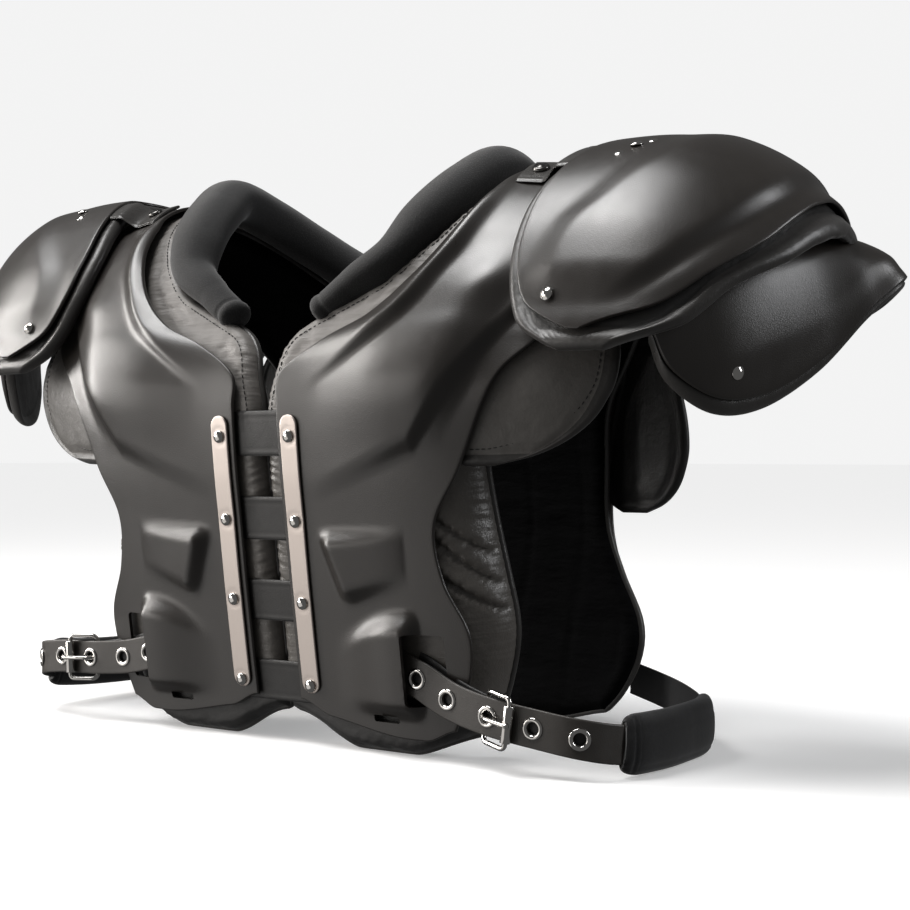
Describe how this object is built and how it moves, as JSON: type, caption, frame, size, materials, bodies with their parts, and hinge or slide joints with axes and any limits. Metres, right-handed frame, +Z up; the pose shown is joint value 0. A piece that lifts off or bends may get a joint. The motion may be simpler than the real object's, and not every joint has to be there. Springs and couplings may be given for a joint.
{
  "type": "football shoulder pad",
  "caption": "Football shoulder pad: hard arch shells with raised chest panels, padded epaulets, shoulder cups, neck rolls, soft body pads, front lacing straps and buckled side belts.",
  "frame": {"origin": "middle of the footprint, on the floor that the pad hems stand on", "axes": "+Z up, -Y to the wearer's front, +X to the wearer's left"},
  "size_m": [0.7506, 0.251, 0.3901],
  "materials": {
    "shell": "satin moulded plastic, warm dark grey",
    "nylon": "coated nylon pad cover, mid grey, slight sheen",
    "nylon_black": "coated nylon pad cover, black",
    "lining": "black padded lining",
    "neoprene": "stippled foam-backed knit, charcoal",
    "belt": "coated belt, dark grey, semi-matt",
    "webbing": "woven webbing, black",
    "steel": "brushed steel strip",
    "chrome": "bright plated"
  },
  "bodies": {
    "root": {"back_link_strap_1": "webbing", "back_link_strap_2": "webbing", "back_link_strap_3": "webbing", "front_link_strap_1": "webbing", "front_link_strap_2": "webbing", "front_link_strap_3": "webbing", "front_link_strap_4": "webbing", "left_arch_shell": "shell", "left_belt": "belt", "left_belt_sleeve": "neoprene", "left_body_pad": "nylon", "left_buckle": "chrome", "left_cup_liner": "lining", "left_cup_rivet": "chrome", "left_cup_shell": "shell", "left_epaulet_liner": "lining", "left_epaulet_rivet_1": "chrome", "left_epaulet_rivet_2": "chrome", "left_epaulet_rivet_3": "chrome", "left_epaulet_rivet_4": "chrome", "left_epaulet_shell": "shell", "left_front_flap": "nylon", "left_hinge_tab": "webbing", "left_neck_roll": "neoprene", "left_rear_flap": "nylon_black", "left_rear_webbing": "webbing", "left_steel_strip": "steel", "left_strip_rivet_1": "chrome", "left_strip_rivet_2": "chrome", "left_strip_rivet_3": "chrome", "left_strip_rivet_4": "chrome", "left_tab_snap": "chrome", "right_arch_shell": "shell", "right_belt": "belt", "right_belt_sleeve": "neoprene", "right_body_pad": "nylon", "right_buckle": "chrome", "right_cup_liner": "lining", "right_cup_rivet": "chrome", "right_cup_shell": "shell", "right_epaulet_liner": "lining", "right_epaulet_rivet_1": "chrome", "right_epaulet_rivet_2": "chrome", "right_epaulet_rivet_3": "chrome", "right_epaulet_rivet_4": "chrome", "right_epaulet_shell": "shell", "right_front_flap": "nylon", "right_hinge_tab": "webbing", "right_neck_roll": "neoprene", "right_rear_flap": "nylon_black", "right_rear_webbing": "webbing", "right_steel_strip": "steel", "right_strip_rivet_1": "chrome", "right_strip_rivet_2": "chrome", "right_strip_rivet_3": "chrome", "right_strip_rivet_4": "chrome", "right_tab_snap": "chrome"}
  },
  "joints": []
}
